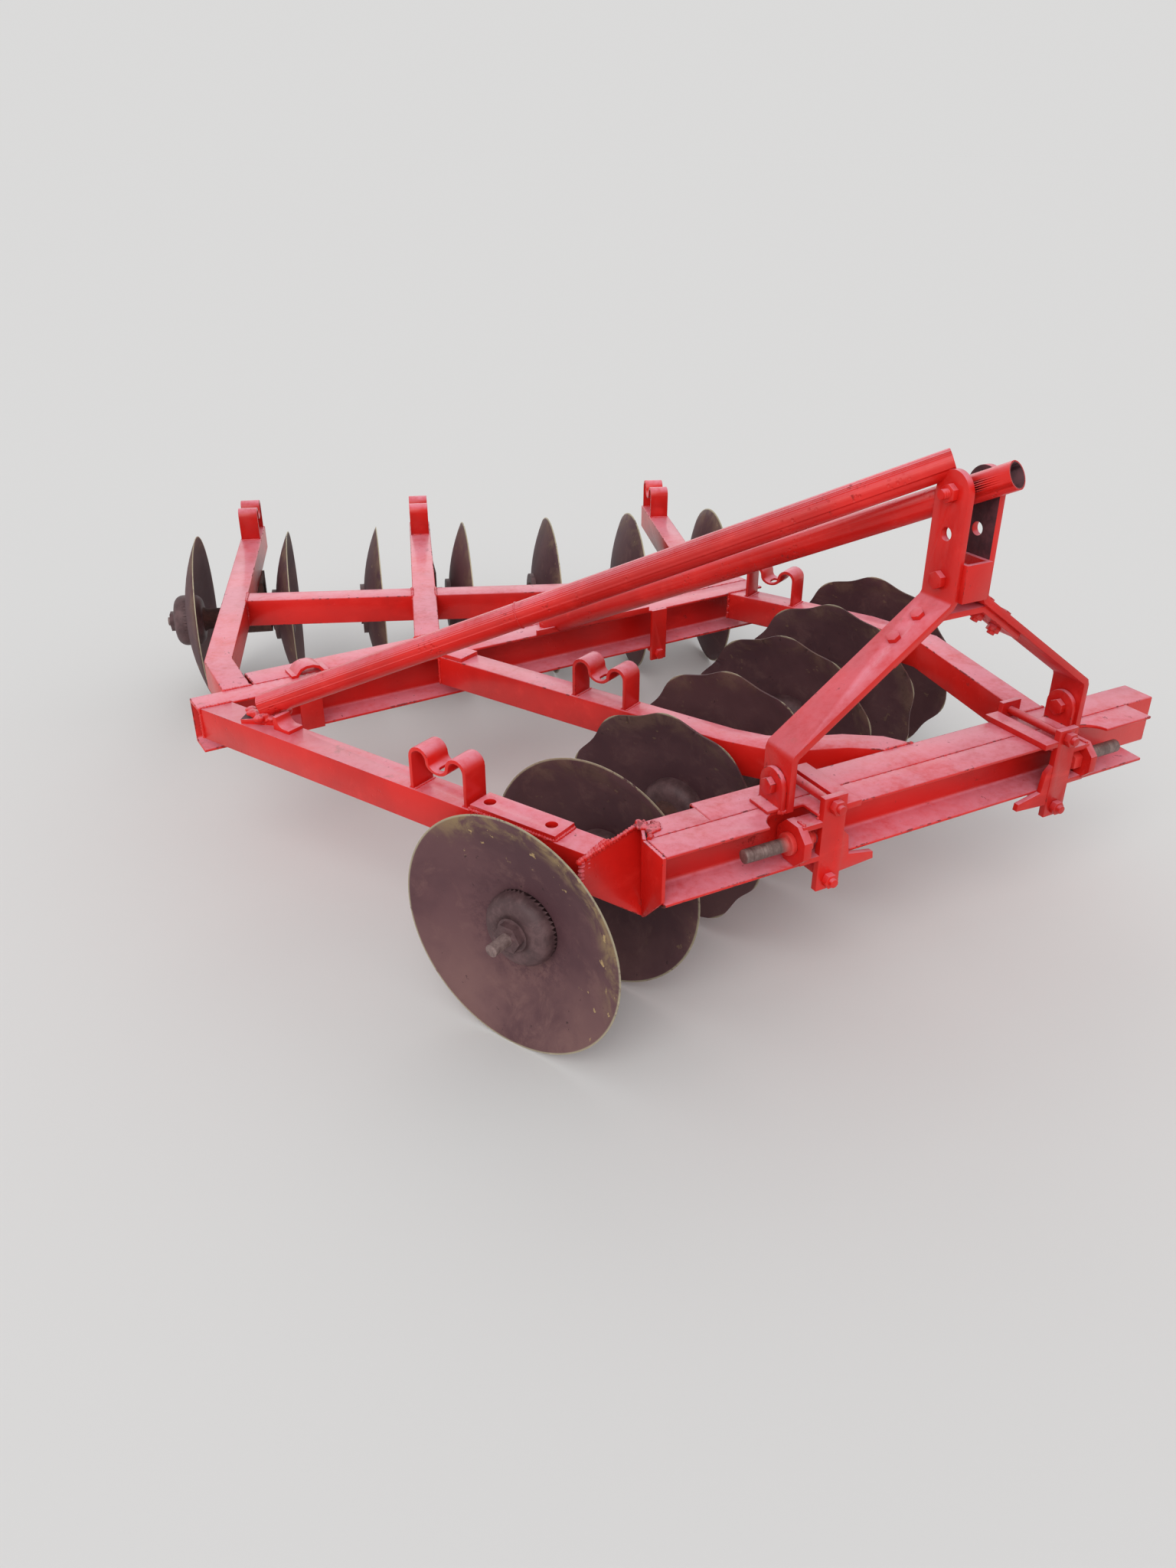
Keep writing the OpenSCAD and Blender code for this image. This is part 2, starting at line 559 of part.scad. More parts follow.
// Odd pieces welded and bolted to the frame by its users
beam_drop = 34;
module front_of_beam(s, w, z0, z1, t) at_rear_beam() translate([s - w / 2, -t, z0]) cube([w, t, z1 - z0]);
module beam_fittings() color([0.58, 0.13, 0.1]) placed() {
    difference() {
        front_of_beam(1250, 48, beam_z - beam_drop, frame_top, 8);
        at_rear_beam() translate([1250, 20, beam_z - beam_drop / 2]) rotate([90, 0, 0]) cylinder(h = 60, d = 17, $fn = 36);
    }
    front_of_beam(258, 54, beam_z, frame_top, 8);
    difference() {
        translate([0, 0, frame_top]) linear_extrude(15) polygon(strip([[261, 1049], [449, 1061], [607, 1069]], 3));
        pipe_between(lower_foot - lower_dir * 60, lower_foot + lower_dir * 150, tube_d + 1);
    }
    at_rear_beam() translate([283, 52, frame_top]) rotate([90, 0, 0]) mirror([0, 0, 1]) linear_extrude(52)
        polygon(strip([[-46, 3.5], [-33, 3.5], [-22, 17], [-8, 22], [8, 22], [22, 17], [33, 3.5], [46, 3.5]], 3.5));
    tab = front_at(middle_t, 700);
    translate([tab[0], tab[1], frame_top]) rotate([0, 0, front_angle]) translate([-31, -72, 0]) cube([62, 144, 10]);
    block = front_at(right_t + 12, 688);
    translate([block[0], block[1], frame_top]) rotate([0, 0, front_angle]) rotate([90, 0, 90])
        translate([0, 0, -20]) linear_extrude(40) polygon(concat([[-22, 0], [26, 0], [26, 30], [16, 30]], arc([-6, 30], 22, 0, -90, 6), [[-22, 8]]));
}
module fitting_bolt() color([0.45, 0.2, 0.17]) placed() at_rear_beam()
    translate([1250, -8, beam_z - beam_drop / 2]) rotate([-90, 0, 0]) {
        cylinder(h = 44, d = 16, $fn = 36);
        translate([0, 0, -11]) hex(30, 11);
        translate([0, 0, 8]) hex(30, 14);
    }

// Lower link brackets: a boss plate, a strap on the beam's front and a web between them
module octagon(d, h) rotate([0, 90, 0]) rotate([0, 0, 22.5]) cylinder(h = h, d = d / cos(22.5), $fn = 8);
strap_z0 = beam_z - 60;
strap_z1 = frame_top + 36;
clamp_zs = [beam_z - 38, frame_top + 15];
module bracket() difference() {
    union() {
        translate([-foot_half, pin_y, pin_z]) octagon(boss_af, boss_t);
        translate([-strap_off - strap_w / 2, front_y - strap_t, strap_z0]) cube([strap_w, strap_t, strap_z1 - strap_z0]);
        for (z = [pin_z - boss_af / 2, pin_z + boss_af / 2 - shelf_t])
            translate([-foot_half + boss_t / 2, front_y - strap_t, z]) cube([foot_half - strap_off, strap_t + 26, shelf_t]);
        translate([-strap_off + strap_w / 2 - 1, front_y, pin_z]) rotate([90, 0, 0]) linear_extrude(12)
            polygon([[0, 12], [16, -5], [22, -50], [84, -62], [86, -78], [0, -84]]);
    }
    translate([-foot_half - 100, pin_y, pin_z]) rotate([0, 90, 0]) cylinder(h = 200, d = pin_d + 0.4, $fn = 48);
    for (z = clamp_zs) translate([-strap_off, 0, z]) rotate([90, 0, 0]) cylinder(h = 200, d = 19, $fn = 36);
}
module link_pin() translate([-foot_half, pin_y, pin_z]) rotate([0, 90, 0]) {
    translate([0, 0, -pin_len - 12]) cylinder(h = pin_len + 12 + boss_t + 34, d = pin_d, $fn = 48);
    translate([0, 0, -12]) cylinder(h = 12, d = 46, $fn = 48);
    translate([0, 0, boss_t]) hex(50, 22);
}
module right_bracket() color([0.55, 0.13, 0.1]) placed() at_mast() bracket();
module left_bracket() color([0.55, 0.13, 0.1]) placed() at_mast() mirror([1, 0, 0]) bracket();
module right_link_pin() color([0.48, 0.42, 0.38]) placed() at_mast() link_pin();
module left_link_pin() color([0.48, 0.42, 0.38]) placed() at_mast() mirror([1, 0, 0]) link_pin();
// A bar lies across the beams beside each pair of straps
module beam_straps() color([0.5, 0.14, 0.11]) placed() at_mast() for (s = [-1, 1]) {
    translate([s * (strap_off - strap_w / 2 - 18) - 18, front_y - strap_t, frame_top])
        cube([36, front_back_y + 12 - front_y + strap_t, 13]);
    translate([s * strap_off - strap_w / 2, front_back_y, strap_z0]) difference() {
        cube([strap_w, 12, strap_z1 - strap_z0]);
        for (z = clamp_zs) translate([strap_w / 2, 50, z - strap_z0]) rotate([90, 0, 0]) cylinder(h = 100, d = 19, $fn = 36);
    }
}
module clamp_bolts() color([0.5, 0.2, 0.16]) placed() at_mast() for (s = [-1, 1]) for (z = clamp_zs)
    translate([s * strap_off, front_back_y + 12, z]) rotate([90, 0, 0]) {
        cylinder(h = front_back_y + 12 - front_y + strap_t + 22, d = 18, $fn = 36);
        translate([0, 0, -11]) hex(32, 11);
        translate([0, 0, front_back_y + 12 - front_y + strap_t]) hex(32, 14);
    }

front_channel();
front_box();
corner_gusset();
rear_channel();
rear_box();
right_member();
middle_member();
left_member();
right_arm();
middle_arm();
left_arm();
right_cross_bar();
left_cross_bar();
front_seats();
rear_seats();
hole_plates();
front_hangers();
rear_hangers();
upper_brace();
lower_brace();
beam_fittings();
fitting_bolt();
right_mast_bar();
left_mast_bar();
mast_arch();
mast_clip();
mast_bolts();
mast_feet();
foot_bolts();
right_bracket();
left_bracket();
right_link_pin();
left_link_pin();
beam_straps();
clamp_bolts();
front_axle();
front_plain_discs();
front_scalloped_discs();
front_spools();
front_ends();
rear_axle();
rear_discs();
rear_spools();
rear_ends();
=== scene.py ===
# Mounted offset disc harrow: dresses the CAD nodes and adds welds, wear and small fittings
import math
import random
import bpy
from mathutils import Vector, Matrix


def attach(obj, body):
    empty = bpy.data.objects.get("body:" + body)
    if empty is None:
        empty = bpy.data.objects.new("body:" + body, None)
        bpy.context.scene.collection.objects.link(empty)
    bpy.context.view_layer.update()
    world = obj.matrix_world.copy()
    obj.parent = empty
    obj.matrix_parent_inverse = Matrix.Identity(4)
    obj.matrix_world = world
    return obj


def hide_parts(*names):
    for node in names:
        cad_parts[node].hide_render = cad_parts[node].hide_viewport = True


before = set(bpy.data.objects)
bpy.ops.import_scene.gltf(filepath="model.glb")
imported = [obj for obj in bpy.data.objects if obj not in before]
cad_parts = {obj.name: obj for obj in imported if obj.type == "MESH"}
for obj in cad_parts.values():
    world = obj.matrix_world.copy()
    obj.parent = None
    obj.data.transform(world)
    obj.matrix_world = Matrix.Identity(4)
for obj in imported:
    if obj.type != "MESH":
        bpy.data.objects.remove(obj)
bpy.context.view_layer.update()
scene = bpy.context.scene
random.seed(7)

# every place below is in metres from the near end of the front beam, then moved by this much
planShift = Vector((-0.367924, -1.154526, 0.0))
axleHeight = 0.255
frontGang = {"start": Vector((-0.240, 0.141, axleHeight)), "angle": 26.7}
rearGang = {"start": Vector((-0.374, 2.131, axleHeight)), "angle": -16.7}
rearBeam = {"start": Vector((-0.606, 1.002, 0.0)), "angle": 3.4}
frameTop = 0.455
mastAt = {"x": 0.671, "y": 0.044}


def placeIn(base, along, across, height):
    # a point given along and across a gang or the rear beam
    turn = math.radians(base["angle"])
    x = base["start"].x + along * math.cos(turn) - across * math.sin(turn)
    y = base["start"].y + along * math.sin(turn) + across * math.cos(turn)
    return Vector((x, y, height)) + planShift


def plan(x, y, z):
    return Vector((x, y, z)) + planShift


def deselect():
    if bpy.context.object and bpy.context.object.mode != "OBJECT":
        bpy.ops.object.mode_set(mode="OBJECT")
    bpy.ops.object.select_all(action="DESELECT")


def pick(obj):
    deselect()
    obj.select_set(True)
    bpy.context.view_layer.objects.active = obj


# camera as the photograph was taken
cameraSet = {"place": plan(-0.947, -1.515, 1.5625), "heading": (0.468, 0.884), "pitchDown": 28.58,
             "lens": 26.84}
deselect()
bpy.ops.object.camera_add(location=cameraSet["place"])
camera = bpy.context.object
camera.name = "camera"
camera.rotation_euler = (math.radians(90 - cameraSet["pitchDown"]), 0,
                         math.atan2(cameraSet["heading"][1], cameraSet["heading"][0]) - math.pi / 2)
camera.data.lens = cameraSet["lens"]
camera.data.sensor_width = 36
camera.data.clip_start = 0.05
scene.camera = camera
print("camera set")


# shader maths written as Python
class Wire:
    def __init__(self, shop, socket):
        self.shop = shop
        self.socket = socket

    def math(self, operation, first, second=None, clamp=False):
        values = {0: first} if second is None else {0: first, 1: second}
        return self.shop.node("ShaderNodeMath", {"operation": operation, "use_clamp": clamp}, values)

    def __add__(self, other):
        return self.math("ADD", self, other)

    def __radd__(self, other):
        return self.math("ADD", other, self)

    def __sub__(self, other):
        return self.math("SUBTRACT", self, other)

    def __rsub__(self, other):
        return self.math("SUBTRACT", other, self)

    def __mul__(self, other):
        return self.math("MULTIPLY", self, other)

    def __rmul__(self, other):
        return self.math("MULTIPLY", other, self)

    def clamped(self):
        return self.math("ADD", self, 0.0, clamp=True)

    def root(self):
        return self.math("SQRT", self)


class Shop:
    # one material and the nodes in it
    def __init__(self, name, displayColor):
        self.material = bpy.data.materials.new(name)
        self.material.use_nodes = True
        self.material.diffuse_color = (*displayColor, 1)
        self.tree = self.material.node_tree
        self.shader = self.tree.nodes["Principled BSDF"]
        self.place = self.node("ShaderNodeTexCoord", {}, {}, "Object")

    def node(self, kind, settings, values, output=0):
        made = self.tree.nodes.new(kind)
        for key, value in settings.items():
            setattr(made, key, value)
        for key, value in values.items():
            target = made.inputs[key]
            if isinstance(value, Wire):
                self.tree.links.new(value.socket, target)
            else:
                target.default_value = value
        return Wire(self, made.outputs[output])

    def noise(self, scale, detail=4.0, roughness=0.6, place=None, distortion=0.0):
        return self.node("ShaderNodeTexNoise", {},
                         {"Vector": place or self.place, "Scale": scale, "Detail": detail,
                          "Roughness": roughness, "Distortion": distortion}, "Fac")

    def cells(self, scale, place):
        return self.node("ShaderNodeTexVoronoi", {"feature": "F1"}, {"Vector": place, "Scale": scale},
                         "Distance")

    def step(self, value, low, high):
        return self.node("ShaderNodeMapRange", {"interpolation_type": "SMOOTHSTEP"},
                         {0: value, 1: low, 2: high, 3: 0.0, 4: 1.0})

    def mix(self, mask, first, second):
        values = {"Factor": mask, "A": first if isinstance(first, Wire) else (*first, 1),
                  "B": second if isinstance(second, Wire) else (*second, 1)}
        made = self.tree.nodes.new("ShaderNodeMix")
        made.data_type = "RGBA"
        for key, value in values.items():
            target = [s for s in made.inputs
                      if s.name == key and (s.type == "RGBA" or key == "Factor" and s.type == "VALUE")][0]
            if isinstance(value, Wire):
                self.tree.links.new(value.socket, target)
            else:
                target.default_value = value
        return Wire(self, [s for s in made.outputs if s.type == "RGBA"][0])

    def turned(self, centre, angle):
        # the pattern's place in a gang's own axes, X along the axle
        return self.node("ShaderNodeMapping", {"vector_type": "TEXTURE"},
                         {"Vector": self.place, "Location": centre, "Rotation": (0, 0, math.radians(angle))})

    def stretched(self, scale):
        return self.node("ShaderNodeMapping", {"vector_type": "POINT"},
                         {"Vector": self.place, "Scale": scale})

    def parts(self, vector):
        made = self.tree.nodes.new("ShaderNodeSeparateXYZ")
        self.tree.links.new(vector.socket, made.inputs[0])
        return [Wire(self, socket) for socket in made.outputs]

    def warped(self, scale, amount):
        # the place pushed about by noise, for ragged cells
        push = self.node("ShaderNodeTexNoise", {}, {"Vector": self.place, "Scale": scale, "Detail": 3.0},
                         "Color")
        moved = self.node("ShaderNodeVectorMath", {"operation": "SCALE"}, {0: push, "Scale": amount})
        return self.node("ShaderNodeVectorMath", {"operation": "ADD"}, {0: self.place, 1: moved})

    def facingUp(self):
        normal = self.node("ShaderNodeNewGeometry", {}, {}, "Normal")
        return self.parts(normal)[2]

    def bump(self, height, strength, distance):
        return self.node("ShaderNodeBump", {},
                         {"Height": height, "Strength": strength, "Distance": distance})

    def finish(self, **sockets):
        for key, value in sockets.items():
            target = self.shader.inputs[key.replace("_", " ")]
            if isinstance(value, Wire):
                self.tree.links.new(value.socket, target)
            else:
                target.default_value = value
        return self.material


# the pale pink tone mixed onto the tops is partly dust and partly a painted sky sheen
redLook = {"deep": (0.52, 0.010, 0.007), "fresh": (0.74, 0.014, 0.009), "bright": (0.84, 0.040, 0.030),
           "dustAndSheen": (0.90, 0.40, 0.50), "rust": (0.070, 0.020, 0.016), "speck": (0.13, 0.012, 0.012),
           "soil": (0.22, 0.10, 0.07)}
coatSet = {"weight": 0.22, "roughness": 0.18}


def redPaint(name, wear, dustAndSheen, pitted=0.25):
    # brushed gloss red over rust-pitted steel, paler and pinker where it faces the sky: partly dust, partly
    # painted sky sheen
    shop = Shop(name, redLook["fresh"])
    broad = shop.noise(2.6, 4, 0.6)
    patches = shop.noise(9.0, 6, 0.68, distortion=0.4)
    fine = shop.noise(70.0, 5, 0.62)
    brush = shop.noise(24.0, 6, 0.7, place=shop.stretched((0.3, 1.0, 1.0)))
    pits = (shop.step(shop.cells(95.0, place=shop.warped(14.0, 0.012)), 0.34, 0.10)
            * shop.step(patches, 0.50, 0.62))
    up = shop.step(shop.facingUp(), 0.35, 0.95)
    color = shop.mix(shop.step(broad, 0.35, 0.65), redLook["deep"], redLook["fresh"])
    color = shop.mix(shop.step(brush, 0.50, 0.78) * 0.45, color, redLook["bright"])
    # dust and painted sheen: faces turned to the sky are mixed toward pale pink, for dust and for the sky's
    # reflection on the gloss
    dustAndSheenMask = up * shop.step(patches * 0.65 + fine * 0.35, 0.16, 0.62) * dustAndSheen
    color = shop.mix(dustAndSheenMask, color, redLook["dustAndSheen"])
    speck = (shop.step(shop.noise(40.0, 5, 0.78, place=shop.stretched((1.0, 0.45, 1.0))), 0.66, 0.71)
             * (0.2 + 0.8 * up))
    color = shop.mix(speck, color, redLook["speck"])
    soilMask = up * shop.step(shop.noise(15.0, 6, 0.72), 0.60, 0.72) * 0.4
    color = shop.mix(soilMask, color, redLook["soil"])
    chips = shop.step(patches * 0.5 + fine * 0.5, 0.62 - wear * 0.20, 0.66 - wear * 0.18)
    color = shop.mix(chips * (0.45 + 0.55 * wear), color, redLook["rust"])
    roughness = 0.30 + 0.14 * fine + 0.16 * dustAndSheenMask + 0.35 * chips
    height = fine * 0.30 + brush * 0.45 - pits * pitted * 2.4 - chips * 0.25
    normal = shop.bump(height, 0.6, 0.0014)
    return shop.finish(Base_Color=color, Roughness=roughness, Normal=normal,
                       Coat_Weight=(coatSet["weight"] - chips * coatSet["weight"]).clamped(),
                       Coat_Roughness=coatSet["roughness"], Specular_IOR_Level=0.30)


discLook = {"dark": (0.078, 0.029, 0.036), "violet": (0.120, 0.050, 0.055),
            "pinkish": (0.185, 0.092, 0.084), "ochre": (0.42, 0.29, 0.13),
            "olive": (0.26, 0.175, 0.085), "rim": (0.50, 0.44, 0.30), "speck": (0.030, 0.012, 0.012)}


def discRust(name, gang, shade, near):
    # dark rusted plate, worn pale at the very rim by the soil, with painted light making the lower part of
    # its face paler
    tone = {key: tuple(part * (shade if key != "rim" else 1.0) for part in value)
            for key, value in discLook.items()}
    shop = Shop(name, tone["violet"])
    local = shop.turned(gang["start"] + planShift, gang["angle"])
    x, y, z = shop.parts(local)
    radius = (y * y + z * z).root()
    broad = shop.noise(3.6, 4, 0.6)
    mottled = shop.noise(15.0, 7, 0.7, distortion=0.5)
    grain = shop.noise(130.0, 4, 0.6)
    color = shop.mix(shop.step(broad, 0.36, 0.64), tone["dark"], tone["violet"])
    color = shop.mix(shop.step(mottled, 0.50, 0.70) * 0.5, color, tone["pinkish"])
    # painted light: the lower part of the face is mixed toward pale pink, as where light falls on it
    paintedLightLower = shop.step(z, 0.02, -0.20) * shop.step(broad * 0.6 + mottled * 0.4, 0.34, 0.60)
    color = shop.mix(paintedLightLower * (0.25 + 0.5 * near), color, tone["pinkish"])
    band = (shop.step(radius, 0.190, 0.235) * shop.step(z - y * 0.6, 0.02, 0.16)
            * shop.step(mottled, 0.40, 0.60))
    color = shop.mix(band * (0.15 + 0.75 * near), color, tone["olive"])
    flakes = shop.noise(34.0, 4, 0.6)
    chips = (shop.step(radius, 0.12, 0.20) * shop.step(z - y * 0.8 + (mottled - 0.5) * 0.3, -0.10, 0.08)
             * shop.step(flakes, 0.655, 0.68))
    color = shop.mix(chips * (0.15 + 0.80 * near), color, tone["ochre"])
    hub = shop.step(radius, 0.165, 0.085) * shop.step(shop.noise(62.0, 6, 0.75), 0.46, 0.58)
    color = shop.mix(hub * (0.2 + 0.55 * near), color, tone["dark"])
    speck = shop.step(shop.noise(42.0, 4, 0.7), 0.66, 0.71)
    color = shop.mix(speck * 0.8, color, tone["speck"])
    rim = shop.step(radius, 0.2500, 0.2535) * shop.step(grain * 0.4 + mottled * 0.6, 0.34, 0.46)
    color = shop.mix(rim * 0.85, color, tone["rim"])
    roughness = 0.55 + 0.30 * mottled - 0.2 * rim
    normal = shop.bump(mottled * 0.35 + grain * 0.25 - chips * 0.3, 0.4, 0.0010)
    return shop.finish(Base_Color=color, Roughness=roughness, Metallic=0.1 + 0.4 * rim, Normal=normal)


def rustySteel(name, base, light, metal, roughBase, rough=1.0):
    # mottled rust between a dark and a light tone
    shop = Shop(name, light)
    mottled = shop.noise(24.0, 7, 0.7, distortion=0.3)
    grain = shop.noise(140.0, 4, 0.6)
    color = shop.mix(shop.step(mottled, 0.4, 0.65), base, light)
    color = shop.mix(shop.step(grain, 0.62, 0.72) * 0.3, color,
                     (light[0] * 1.4, light[1] * 1.4, light[2] * 1.2))
    normal = shop.bump(mottled * 0.6 + grain * 0.4, 0.45, 0.0011 * rough)
    return shop.finish(Base_Color=color, Roughness=roughBase + 0.25 * mottled, Metallic=metal, Normal=normal)


def barePin(name):
    # turned pin with ring marks, oversprayed red beside its boss
    shop = Shop(name, (0.45, 0.4, 0.36))
    x, y, z = shop.parts(shop.place)
    rings = shop.node("ShaderNodeTexNoise", {"noise_dimensions": "1D"},
                      {"W": x * 160.0, "Scale": 1.0, "Detail": 3.0}, "Fac")
    stain = shop.noise(30.0, 6, 0.7)
    color = shop.mix(shop.step(stain, 0.4, 0.66), (0.16, 0.095, 0.085), (0.30, 0.205, 0.185))
    color = shop.mix(shop.step(rings, 0.52, 0.7) * 0.5, color, (0.10, 0.055, 0.050))
    away = ((x - pinSet["middle"]) * (x - pinSet["middle"])).root()
    spray = shop.step(away + (stain - 0.5) * 0.02, pinSet["half"] + 0.030, pinSet["half"] + 0.008)
    color = shop.mix(spray * 0.85, color, redLook["fresh"])
    normal = shop.bump(rings * 0.5 + stain * 0.5, 0.3, 0.0008)
    return shop.finish(Base_Color=color, Roughness=0.36 + 0.25 * stain, Metallic=0.4 - 0.4 * spray,
                       Normal=normal)


# the lower link pins stand out of bosses this far either side of the mast's middle
pinSet = {"middle": mastAt["x"] + planShift.x, "half": 0.388}
paint = {
    "main": redPaint("redPaint", 0.0, 0.62),
    "edge": redPaint("redPaintEdge", 0.45, 0.45),
    "tube": redPaint("tubeRed", 0.05, 0.35, 1.0),
    "wornEdge": redPaint("wornRedEdge", 0.95, 0.3),
    "weld": redPaint("weldRed", 0.25, 0.35, 0.6),
    # the dark inner finish: rust, and painted shade inside the tube bores and between the mast bars
    "shade": rustySteel("innerRust", (0.060, 0.020, 0.026), (0.125, 0.036, 0.044), 0.1, 0.55, 0.8),
    "frontDiscs": discRust("frontDiscRust", frontGang, 0.92, 0.1),
    "nearDisc": discRust("nearDiscRust", frontGang, 1.12, 1.0),
    "rearDiscs": discRust("rearDiscRust", rearGang, 0.95, 0.2),
    "axle": rustySteel("axleSteel", (0.13, 0.075, 0.070), (0.30, 0.21, 0.195), 0.35, 0.42, 0.7),
    "bell": rustySteel("bellRust", (0.085, 0.043, 0.045), (0.150, 0.080, 0.082), 0.15, 0.46, 0.22),
    "casting": rustySteel("castRust", (0.060, 0.026, 0.022), (0.135, 0.058, 0.045), 0.15, 0.66),
    "bolts": redPaint("boltRed", 0.12, 0.4),
    "pins": barePin("bareSteel"),
}
print("materials made")


# which finish each CAD node takes: face, bevelled edge, bevel width in metres
nodeFinish = {
    "front_channel": ("main", "edge", 0.0022),
    "front_box": ("main", "edge", 0.0035),
    "corner_gusset": ("main", "edge", 0.0020),
    "rear_channel": ("main", "edge", 0.0022),
    "rear_box": ("main", "edge", 0.0035),
    "right_member": ("main", "edge", 0.0045),
    "middle_member": ("main", "edge", 0.0045),
    "left_member": ("main", "edge", 0.0045),
    "right_arm": ("main", "edge", 0.0045),
    "middle_arm": ("main", "edge", 0.0045),
    "left_arm": ("main", "edge", 0.0045),
    "right_cross_bar": ("main", "edge", 0.0045),
    "left_cross_bar": ("main", "edge", 0.0045),
    "front_seats": ("main", "edge", 0.0015),
    "rear_seats": ("main", "edge", 0.0015),
    "hole_plates": ("main", "edge", 0.0018),
    "front_hangers": ("casting", "casting", 0.0),
    "rear_hangers": ("casting", "casting", 0.0),
    "upper_brace": ("tube", "edge", 0.0),
    "lower_brace": ("tube", "edge", 0.0),
    "beam_fittings": ("main", "edge", 0.0018),
    "fitting_bolt": ("bolts", "edge", 0.0015),
    "right_mast_bar": ("main", "edge", 0.0022),
    "left_mast_bar": ("main", "edge", 0.0022),
    "mast_arch": ("main", "edge", 0.0020),
    "mast_clip": ("main", "edge", 0.0020),
    "mast_bolts": ("bolts", "edge", 0.0015),
    "mast_feet": ("main", "edge", 0.0020),
    "foot_bolts": ("bolts", "edge", 0.0015),
    "right_bracket": ("main", "edge", 0.0022),
    "left_bracket": ("main", "edge", 0.0022),
    "right_link_pin": ("pins", "pins", 0.0018),
    "left_link_pin": ("pins", "pins", 0.0018),
    "beam_straps": ("main", "edge", 0.0020),
    "clamp_bolts": ("bolts", "edge", 0.0015),
    "front_axle": ("axle", "axle", 0.0015),
    "rear_axle": ("axle", "axle", 0.0015),
    "front_spools": ("casting", "casting", 0.0),
    "rear_spools": ("casting", "casting", 0.0),
    "front_ends": ("bell", "bell", 0.0),
    "rear_ends": ("bell", "bell", 0.0),
    "front_plain_discs": ("frontDiscs", "frontDiscs", 0.0),
    "front_scalloped_discs": ("frontDiscs", "frontDiscs", 0.0),
    "rear_discs": ("rearDiscs", "rearDiscs", 0.0),
}


def bodyOf(node):
    # only the axles and what is threaded on them turn
    words = node.split("_")
    if words[-1] in ("axle", "spools", "ends", "discs"):
        return words[0] + "_gang"
    return "frame"


def dress(node, face, edge, width):
    # a copy of the CAD node with its edges rounded and worn
    source = bpy.data.objects[node]
    pick(source)
    bpy.ops.object.duplicate()
    piece = bpy.context.object
    piece.name = node + "Dressed"
    piece.data.name = piece.name
    piece.data.materials.clear()
    piece.data.materials.append(paint[face])
    piece.data.materials.append(paint[edge])
    for polygon in piece.data.polygons:
        polygon.material_index = 0
    pick(piece)
    bpy.ops.object.mode_set(mode="EDIT")
    bpy.ops.mesh.select_all(action="SELECT")
    bpy.ops.mesh.remove_doubles(threshold=0.00002)
    if width > 0:
        bpy.ops.mesh.dissolve_limited(angle_limit=math.radians(1.0))
    bpy.ops.object.mode_set(mode="OBJECT")
    if width > 0:
        bevel = piece.modifiers.new("edges", "BEVEL")
        bevel.width = width
        bevel.segments = 2
        bevel.limit_method = "ANGLE"
        bevel.angle_limit = math.radians(38)
        bevel.use_clamp_overlap = True
        bevel.material = 1
        bevel.harden_normals = False
        bpy.ops.object.modifier_apply(modifier=bevel.name)
    bpy.ops.object.shade_smooth_by_angle(angle=math.radians(32))
    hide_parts(node)
    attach(piece, bodyOf(node))
    return piece


dressed = {}
for nodeName, (face, edge, width) in nodeFinish.items():
    dressed[nodeName] = dress(nodeName, face, edge, width)

# the nearest disc has a paler rust of its own
nearLimit = {"along": 0.10}
plainDiscs = dressed["front_plain_discs"]
plainDiscs.data.materials[1] = paint["nearDisc"]
alongGang = Vector((math.cos(math.radians(frontGang["angle"])),
                    math.sin(math.radians(frontGang["angle"])), 0))
for polygon in plainDiscs.data.polygons:
    if (polygon.center - frontGang["start"] - planShift).dot(alongGang) < nearLimit["along"]:
        polygon.material_index = 1

# tubes: where their axes run, their radius, and how near the axis a face counts as the bore
tubeSet = {"upperFoot": plan(-0.486, 0.880, 0.488), "upperHead": plan(0.650, 0.076, 1.058),
           "lowerFoot": plan(0.330, 1.086, 0.467), "lowerEye": plan(mastAt["x"], mastAt["y"], 1.012),
           "radius": 0.027, "bore": 0.0245}


def offAxis(point, start, end):
    way = (end - start).normalized()
    return (point - start - way * (point - start).dot(way)).length


def darken(node, chosen):
    # a second finish on the faces that a test picks: the dark inner rust, which is partly painted shade
    piece = dressed[node]
    piece.data.materials.append(paint["shade"])
    for polygon in piece.data.polygons:
        if chosen(polygon):
            polygon.material_index = len(piece.data.materials) - 1


# tube bores and the mast bars' inner faces take the dark finish, which paints in their shade as well as rust
darken("upper_brace",
       lambda face: offAxis(face.center, tubeSet["upperFoot"], tubeSet["upperHead"]) < tubeSet["bore"])
darken("lower_brace",
       lambda face: offAxis(face.center, tubeSet["lowerFoot"], tubeSet["lowerEye"]) < tubeSet["bore"])
mastInside = {"low": 0.80, "facing": 0.9}
darken("left_mast_bar",
       lambda face: face.center.z > mastInside["low"] and face.normal.x < -mastInside["facing"])
darken("right_mast_bar",
       lambda face: face.center.z > mastInside["low"] and face.normal.x > mastInside["facing"])
